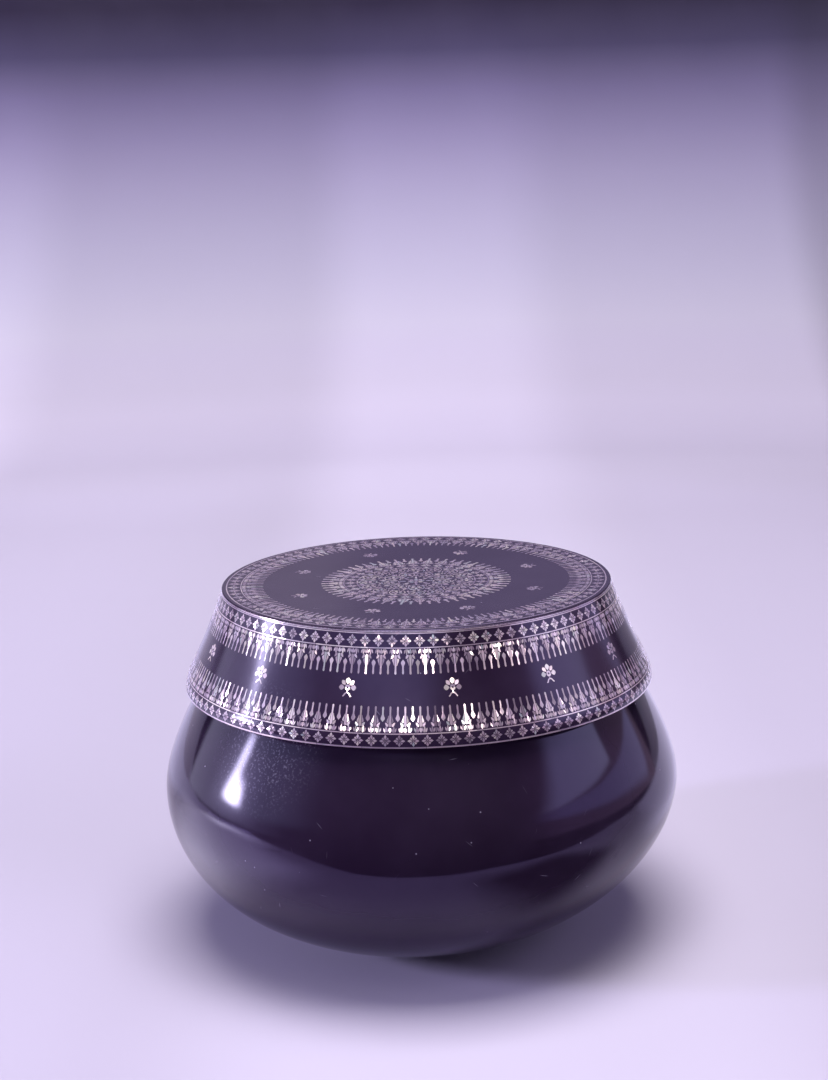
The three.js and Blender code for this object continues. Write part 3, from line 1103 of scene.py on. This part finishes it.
# The medallion: radii are in millimetres from the middle of the lid's top

medallion = {
    "flames": 32,
    "flameRoot": 36.6,
    "flameTip": 47.8,
    "innerLine": 29.9,
    "outerScrolls": {"count": 16, "radius": 24.6, "reach": 3.9},
    "innerScrolls": {"count": 9, "radius": 13.6, "reach": 4.0},
    "heart": 8,
    "gap": 0.3 * mm,
    "phase": 2.0,
    "unrest": 1.2,
    "shades": (0.4, 1),
    "seed": 60,
}


def aboutMiddle(shells, turn):
    # outlines drawn with y outwards from the middle, turned to one angle, as (angle, inset) points
    placed = []
    for outline in shells:
        placed.append([
            (turn + math.atan2(x, y), lidTopRadius - math.hypot(x, y) * mm)
            for x, y in outline
        ])
    return placed


def scrollShells(radius, reach):
    # a curled stem round a small flower, with leaves on its outer side and towards its neighbour
    stem = [(x, radius + y) for x, y in arc(reach, math.radians(-60), math.radians(250), 14)]
    shells = [ribbon(stem, 0.5), disc(0, radius, 0.5)]
    for side in range(5):
        angle = fullTurn * side / 5 + 0.3
        near = (0.8 * math.cos(angle), radius + 0.8 * math.sin(angle))
        far = (0.74 * reach * math.cos(angle), radius + 0.74 * reach * math.sin(angle))
        shells.append(petal(near, far, 0.40 * reach, 1.2, 6))
    for lean in (-1, 1):
        shells.append(petal((lean * 0.3, radius + reach + 0.4), (lean * 1.9, radius + reach + 1.5), 0.9))
        shells.append(petal((lean * 0.3, radius - reach - 0.4), (lean * 1.7, radius - reach - 1.3), 0.9))
    return shells


def fillShells(radius, reach):
    # the leaves that fill the gaps between two scrolls
    return [
        petal((0, radius + 0.4 * reach), (0, radius + 1.3 * reach), 1.5, 1.2),
        petal((0, radius - 0.4 * reach), (0, radius - 1.1 * reach), 1.2, 1.2),
        petal((0.5, radius + 0.5 * reach), (1.5, radius + 1.0 * reach), 0.8),
        petal((-0.5, radius + 0.5 * reach), (-1.5, radius + 1.0 * reach), 0.8),
    ]


def scrollRing(count, radius, reach):
    made = []
    for unit in range(count):
        turn = fullTurn * unit / count
        half = fullTurn * (unit + 0.5) / count
        made += [(unit, outline) for outline in aboutMiddle(scrollShells(radius, reach), turn)]
        made += [(unit + 0.5, outline) for outline in aboutMiddle(fillShells(radius, reach), half)]
    return made


def heartShells():
    # two rings of petals round a round middle
    unit = [petal((0, 1.6), (0, 4.3), 2.0, 1.1), petal((0, 4.9), (0, 8.6), 1.3, 0.8)]
    made = []
    for number in range(medallion["heart"]):
        turn = fullTurn * number / medallion["heart"]
        made += [(("heart", number), outline) for outline in aboutMiddle(unit, turn)]
    return made + [("heart", outline) for outline in aboutMiddle([disc(0, 0, 1.1)], 0)]


def makeMedallion():
    count = medallion["flames"]
    phase = medallion["phase"]
    root = lidTopRadius - medallion["flameRoot"] * mm
    tip = lidTopRadius - medallion["flameTip"] * mm
    high = root + borders["lineWidth"]
    inner = lidTopRadius - medallion["innerLine"] * mm
    gap = medallion["gap"]
    flames = lineShells("medallionFlames", root, high)
    flames += repeatRound(flameDesign, flameShells(), count, phase, root, tip)
    diamonds = repeatRound(diamondDesign, diamondShells(), count, phase, high + gap, inner - gap)
    rings = [
        ("medallionFlames", "medallion_flames", flames),
        ("medallionDiamondBand", "medallion_diamond_band", diamonds),
        ("medallionPetals", "medallion_petals", scrollRing(**medallion["outerScrolls"])),
        ("medallionRosette", "medallion_rosette", scrollRing(**medallion["innerScrolls"]) + heartShells()),
    ]
    for number, (name, node, shells) in enumerate(rings):
        seed = medallion["seed"] + number
        addInlay(name, node, shells, onTop, seed, medallion["unrest"], medallion["shades"])


makeMedallion()
print("lid: medallion laid")


# The stage: a pale sheet that sweeps up all round. Its colour carries painted shade: darker towards its top,
# near the camera and on strips to the left and right. A side shade is its start, its end and how dark it is
# before and after.

stageLook = {
    "radius": 2.0,
    "sweep": 0.6,
    "sweepSteps": 24,
    "height": 1.25,
    "thickness": 0.01,
    "floorLevel": -0.0003,
    "tallest": 0.62,
    # the paper's own colour at its foot, darkened up the sweep by painted shade
    "paper": [
        (0.00, (0.718, 0.645, 0.820)),
        (0.05, (0.718, 0.646, 0.805)),
        (0.09, (0.675, 0.610, 0.755)),
        (0.15, (0.645, 0.585, 0.730)),
        (0.20, (0.628, 0.580, 0.708)),
        (0.30, (0.540, 0.500, 0.637)),
        (0.42, (0.446, 0.408, 0.550)),
        (0.52, (0.362, 0.323, 0.468)),
        (0.62, (0.262, 0.227, 0.366)),
        (0.72, (0.160, 0.134, 0.248)),
        (0.82, (0.050, 0.040, 0.096)),
        (0.93, (0.012, 0.006, 0.029)),
    ],
    "nearShade": (0.95, 1.30, 0.13),
    "sideShades": [
        (-0.16, -0.05, 0.15, 0),
        (-0.58, -0.46, -0.15, 0),
        (0.12, 0.25, 0, 0.13),
        (0.53, 0.60, 0, 0.24),
    ],
    "fibre": (0.4, 0.34, 0.55),
    "fibreScale": 9,
    "fibreCover": 0.05,
    "roughness": 0.9,
}


def makePaper():
    look = stageLook
    finish = Finish("paperSweep", Roughness=look["roughness"])
    place = finish.place()
    across = finish.node("SeparateXYZ", None, {"Vector": place}, "X")
    away = finish.node("SeparateXYZ", None, {"Vector": place}, "Y")
    height = finish.node("SeparateXYZ", None, {"Vector": place}, "Z")
    climb = height * (1 / look["tallest"])
    # the ramp paints shade that deepens up the sweep
    paperShadedUp = finish.node("ValToRGB", {"stops": look["paper"]}, {"Fac": climb}, "Color")
    near, far, dimmed = look["nearShade"]
    shade = finish.ranged(away, near, far, dimmed, 0)
    for start, end, before, after in look["sideShades"]:
        shade = shade + finish.ranged(across, start, end, before, after)
    shaded = finish.mix(shade, paperShadedUp, (0, 0, 0, 1))
    fibres = finish.noise(place, look["fibreScale"])
    finish.set(Base_Color=finish.mix(fibres * look["fibreCover"], shaded, (*look["fibre"], 1)))
    return finish


def makeStage():
    radius = stageLook["radius"]
    sweep = stageLook["sweep"]
    thickness = stageLook["thickness"]
    centre = radius - sweep
    outline = [(0, 0), (centre / 2, 0), (centre, 0)]
    outline += [
        (centre + sweep * math.sin(angle), sweep - sweep * math.cos(angle))
        for angle in evenly(stageLook["sweepSteps"], 0, math.pi / 2)[1:]
    ]
    outline += [(radius, stageLook["height"]), (radius + thickness, stageLook["height"])]
    outline += [(radius + thickness, -thickness), (0, -thickness)]
    level = stageLook["floorLevel"]
    paper = addTurned("paperSweep", [(across, z + level) for across, z in outline[::-1]], makePaper())


def hideFromAllButGloss(card):
    card.visible_camera = False
    card.visible_diffuse = False
    card.visible_shadow = False
    card.visible_transmission = False


def aimed(azimuth, elevation):
    turn = math.radians(azimuth)
    rise = math.radians(elevation)
    return Vector((math.sin(turn) * math.cos(rise), -math.cos(turn) * math.cos(rise), math.sin(rise)))


# Black cards stand for the dark room round the paper as painted shade: only the gloss sees them. The paper's
# edge is a row of places on the floor, and the wall's foot is a row of (azimuth, height) pairs.

darkRoom = {
    "dark": (0.004, 0.003, 0.006),
    "light": (0.009, 0.007, 0.012),
    "grainScale": 40,
    "paperEdge": [
        (-1.38, -0.33), (-0.36, -0.305), (-0.1, -0.24), (0.1, -0.245),
        (0.2, -0.215), (0.5, -0.12), (0.75, 0.1), (1.2, 0.6),
    ],
    "floorReach": 1.38,
    "floorBack": 0.6,
    "level": 0.8 * mm,
    "wallRadius": 1.38,
    "wallHeight": 1.4,
    "wallFoot": [
        (-127, 0.20), (-126, 0.18), (-122, 0.11), (-119, 0.05), (-111, 0), (104, 0),
        (116, 0.05), (121, 0.07), (126, 0.12), (130, 0.19), (131, 0.21),
    ],
    "wallStep": 4,
}


def makeDarkRoom():
    room = darkRoom
    finish = Finish("blackCard", Roughness=1, Specular_IOR_Level=0)
    grain = finish.noise(finish.place(), room["grainScale"], 2)
    finish.set(Base_Color=finish.mix(grain, (*room["dark"], 1), (*room["light"], 1)))
    reach = room["floorReach"]
    edge = [(*corner, room["level"]) for corner in room["paperEdge"]]
    outside = [(reach, room["floorBack"]), (reach, -reach), (-reach, -reach)]
    corners = edge + [(*corner, room["level"]) for corner in outside]
    hideFromAllButGloss(addMesh("darkFloorCard", corners, [list(range(len(corners)))], finish))
    feet = room["wallFoot"]
    corners = []
    for (azimuth, level), (nextAzimuth, nextLevel) in zip(feet, feet[1:]):
        steps = max(1, round((nextAzimuth - azimuth) / room["wallStep"]))
        for share in evenly(steps, 0, 1)[:-1]:
            foot = aimed(azimuth + share * (nextAzimuth - azimuth), 0) * room["wallRadius"]
            foot.z = level + share * (nextLevel - level)
            corners += [foot, (foot.x, foot.y, room["wallHeight"])]
    faces = [(step, step + 1, step + 3, step + 2) for step in range(0, len(corners) - 2, 2)]
    hideFromAllButGloss(addMesh("darkWallCard", corners, faces, finish))


# Soft-edged glowing cards, for the gloss alone: the studio's lights as the lacquer and the pearl mirror
# them. Each is a patch seen from one point of the object: its corners are (azimuth, elevation) pairs,
# lower left, lower right, upper right and upper left. Soft is the share of its left, right, lower and
# upper edge that fades.

glowCards = {
    "streakBlob": {
        "from": (-0.09, -0.08, 0.10), "distance": 1.14,
        "corners": [(-101, 3), (-83.5, 4), (-85, 17), (-99, 16)],
        "radiance": 70, "colour": (0.95, 0.96, 1.0), "soft": (0.5, 0.5, 0.3, 0.6),
    },
    "streakBeam": {
        "from": (-0.09, -0.08, 0.10), "distance": 1.15,
        "corners": [(-99, 9), (-89.5, 10), (-90, 25), (-97, 24)],
        "radiance": 30, "colour": (0.93, 0.95, 1.0), "soft": (0.5, 0.5, 0.3, 0.3),
    },
    "streakHalo": {
        "from": (-0.09, -0.08, 0.10), "distance": 1.2,
        "corners": [(-112, -5), (-70, -3), (-74, 32), (-108, 30)],
        "radiance": 4, "colour": (0.80, 0.80, 1.0), "soft": (0.45, 0.6, 0.3, 0.5),
    },
    "besideStreak": {
        "from": (-0.09, -0.08, 0.10), "distance": 1.21,
        "corners": [(-94, 0), (-36, 6), (-36, 42), (-94, 34)],
        "radiance": 1.5, "colour": (0.76, 0.86, 1.0), "soft": (0.15, 0.8, 0.2, 0.3),
    },
    "leftGlow": {
        "from": (-0.09, -0.08, 0.10), "distance": 1.22,
        "corners": [(-126.5, -5), (-52, -4), (-50, 40), (-129, 24)],
        "radiance": 1.5, "colour": (0.78, 0.76, 1.0), "soft": (0.04, 0.6, 0.08, 0.4),
    },
    "lidGlow": {
        "from": (0, -0.104, 0.16), "distance": 0.14,
        "corners": [(-92, 18), (46, 31), (42, 41), (-92, 30)],
        "radiance": 1.7, "colour": (0.70, 0.76, 1.0), "soft": (0.4, 0.35, 0.2, 0.2),
    },
    "spark": {
        "from": (0, -0.11, 0.15), "distance": 1.2,
        "corners": [(-46, 40), (26, 40), (30, 62), (-50, 62)],
        "radiance": 20, "colour": (1.0, 0.95, 0.82), "soft": (0.2, 0.2, 0.15, 0.2),
    },
    "rightSpark": {
        "from": (0, -0.11, 0.15), "distance": 1.2,
        "corners": [(42, 38), (78, 34), (80, 54), (42, 58)],
        "radiance": 9, "colour": (1.0, 0.96, 0.92), "soft": (0.3, 0.3, 0.3, 0.3),
    },
    # painted reflections of the lit room to the right, glowing for the gloss alone
    "rightWindowGlow": {
        "from": (0.08, -0.09, 0.11), "distance": 1.15,
        "corners": [(46, 11.5), (99, 12.2), (101, 38), (64, 38)],
        "radiance": 2.4, "colour": (0.78, 0.78, 1.0), "soft": (0.28, 0.05, 0.07, 0.5),
    },
    "rightWallGlow": {
        "from": (0.08, -0.09, 0.11), "distance": 1.18,
        "corners": [(44, 8), (120, -5.5), (127, 10.5), (44, 13)],
        "radiance": 1.35, "colour": (0.66, 0.60, 1.0), "soft": (0.25, 0.05, 0.35, 0.07),
    },
    "rightHaze": {
        "from": (0.08, -0.09, 0.11), "distance": 1.2,
        "corners": [(34, -6), (127, -8), (131, 42), (34, 42)],
        "radiance": 0.42, "colour": (1.0, 0.68, 0.95), "soft": (0.3, 0.03, 0.06, 0.4),
    },
    "backGlow": {
        "from": (0, 0, 0.18), "distance": 1.5,
        "corners": [(181.5, 6), (202, 6), (202, 34), (181.5, 34)],
        "radiance": 0.50, "colour": (0.80, 0.69, 1.03), "soft": (0.16, 0.16, 0.2, 0.2),
    },
    "backFill": {
        "from": (0, 0, 0.18), "distance": 1.6,
        "corners": [(150, 5), (202, 5), (202, 36), (150, 36)],
        "radiance": 0.37, "colour": (0.68, 0.58, 1.02), "soft": (0.1, 0.1, 0.1, 0.2),
    },
}

# Painted light and shade on the floor, for the gloss alone too: corners are places on the floor, and level
# is the card's height above it

floorGlows = {
    "farLeftFloorGlow": {
        "level": 1.4 * mm,
        "corners": [(-1.1, -0.30), (-0.30, -0.34), (-0.30, 0.20), (-1.1, 0.22)],
        "radiance": 9, "colour": (0.90, 0.88, 1.0), "soft": (0.5, 0.5, 0.5, 0.5),
    },
    "besideFloorGlow": {
        "level": 1.8 * mm,
        "corners": [(-0.9, -0.30), (-0.09, -0.235), (-0.12, 0.06), (-0.9, 0.6)],
        "radiance": 2.4, "colour": (0.90, 0.83, 1.10), "soft": (0.5, 0.12, 0.3, 0.45),
    },
    "backLeftFloorGlow": {
        "level": 1.2 * mm,
        "corners": [(-1.7, 0.10), (-0.16, 0.20), (-0.10, 1.3), (-1.7, 1.3)],
        "radiance": 1.15, "colour": (0.90, 0.82, 1.22), "soft": (0.1, 0.12, 0.12, 0.2),
    },
    "backRightFloorGlow": {
        "level": 1 * mm,
        "corners": [(0.16, -0.07), (0.66, 0.03), (1.35, 0.85), (0.16, 1.3)],
        "radiance": 1.15, "colour": (0.92, 0.83, 1.20), "soft": (0.1, 0.1, 0.1, 0.15),
    },
    "underShade": {
        "level": 1 * mm,
        "corners": [(0.02, -0.24), (0.22, -0.22), (0.23, -0.05), (0.03, -0.07)],
        "radiance": 0.03, "colour": (1.0, 0.8, 1.0), "soft": (0.35, 0.3, 0.35, 0.3),
    },
}
cardCells = {"columns": 12, "rows": 6}


def glowFinish(name, card):
    finish = Finish(name, Roughness=1, Emission_Strength=card["radiance"], Specular_IOR_Level=0)
    face = finish.node("UVMap", {"uv_map": "face"})
    spread = finish.node("SeparateXYZ", None, {"Vector": face}, "X")
    climb = finish.node("SeparateXYZ", None, {"Vector": face}, "Y")
    left, right, low, high = card["soft"]
    lit = finish.ranged(spread, 0, left) * finish.ranged(1 - spread, 0, right)
    lit = lit * finish.ranged(climb, 0, low) * finish.ranged(1 - climb, 0, high)
    finish.set(Base_Color=(0, 0, 0, 1), Emission_Color=(*card["colour"], 1), Alpha=lit)
    return finish


def makeGlowCard(name, card):
    columns = cardCells["columns"]
    rows = cardCells["rows"]
    points = []
    spots = []
    lowerLeft, lowerRight, upperRight, upperLeft = [Vector(corner) for corner in card["corners"]]
    for climb in evenly(rows, 0, 1):
        left = lowerLeft.lerp(upperLeft, climb)
        right = lowerRight.lerp(upperRight, climb)
        for spread in evenly(columns, 0, 1):
            first, second = left.lerp(right, spread)
            if "from" in card:
                points.append(Vector(card["from"]) + aimed(first, second) * card["distance"])
            else:
                points.append((first, second, card["level"]))
            spots.append((spread, climb))
    faces = []
    for row in range(rows):
        for column in range(columns):
            corner = row * (columns + 1) + column
            faces.append((corner, corner + 1, corner + columns + 2, corner + columns + 1))
    corners = [spots[vertex] for face in faces for vertex in face]
    hideFromAllButGloss(addMesh(name, points, faces, glowFinish(name, card), {"face": corners}))


# Lamps that light the paper and the object

lamps = {
    "overhead": {
        "from": (0.05, -0.29, 2.21), "at": (0, 0, 0.13), "size": (1.45, 1.45),
        "power": 55.5, "colour": (1.0, 0.99, 0.98), "gloss": True,
    },
    "leftStrip": {
        "from": (-1.57, -0.34, 0.47), "at": (0, 0, 0.06), "size": (0.12, 0.26),
        "power": 21, "colour": (0.68, 0.65, 1.0), "gloss": False,
    },
    "backWash": {
        "from": (-0.3, 0.8, 1.2), "at": (-0.35, 1.8, 0.5), "size": (1.2, 0.6),
        "power": 8.7, "colour": (1, 1, 1), "gloss": False,
    },
    "rightFill": {
        "from": (1.3, -0.5, 0.8), "at": (0.1, 0, 0), "size": (1.0, 1.0),
        "power": 4.2, "colour": (0.70, 0.64, 1.0), "gloss": False,
    },
}


def makeLamps():
    for name, lamp in lamps.items():
        light = bpy.data.lights.new(name, "AREA")
        light.shape = "RECTANGLE"
        light.size, light.size_y = lamp["size"]
        light.energy = lamp["power"]
        light.color = lamp["colour"]
        holder = bpy.data.objects.new(name, light)
        holder.location = lamp["from"]
        facing = Vector(lamp["at"]) - Vector(lamp["from"])
        holder.rotation_euler = facing.to_track_quat("-Z", "Y").to_euler()
        holder.visible_camera = False
        holder.visible_glossy = lamp["gloss"]
        bpy.context.scene.collection.objects.link(holder)


roomLight = {
    "colour": (0.66, 0.58, 1.0),
    "strength": 0.15,
}


def makeWorld():
    world = bpy.data.worlds.new("dimRoom")
    world.use_nodes = True
    background = world.node_tree.nodes["Background"]
    background.inputs["Color"].default_value = (*roomLight["colour"], 1)
    background.inputs["Strength"].default_value = roomLight["strength"]
    bpy.context.scene.world = world


# The camera stands where the photo's stood

view = {
    "target": (-0.0005, 0, 0.2008),
    "distance": 0.9376,
    "elevation": 12.64,
    "roll": 1.6,
    "lens": 62.5,
}


def setCamera():
    elevation = math.radians(view["elevation"])
    away = Vector((0, -math.cos(elevation), math.sin(elevation)))
    camera = bpy.data.cameras.new("camera")
    camera.lens = view["lens"]
    holder = bpy.data.objects.new("camera", camera)
    holder.location = Vector(view["target"]) + away * view["distance"]
    holder.rotation_euler = (-away).to_track_quat("-Z", "Y").to_euler()
    holder.rotation_euler.rotate_axis("Z", -math.radians(view["roll"]))
    bpy.context.scene.collection.objects.link(holder)
    bpy.context.scene.camera = holder


makeStage()
makeDarkRoom()
for cardName, card in {**glowCards, **floorGlows}.items():
    makeGlowCard(cardName, card)
makeLamps()
makeWorld()
setCamera()
bpy.context.scene.view_settings.view_transform = "Standard"
print("stage: sweep, cards, lamps and camera set")
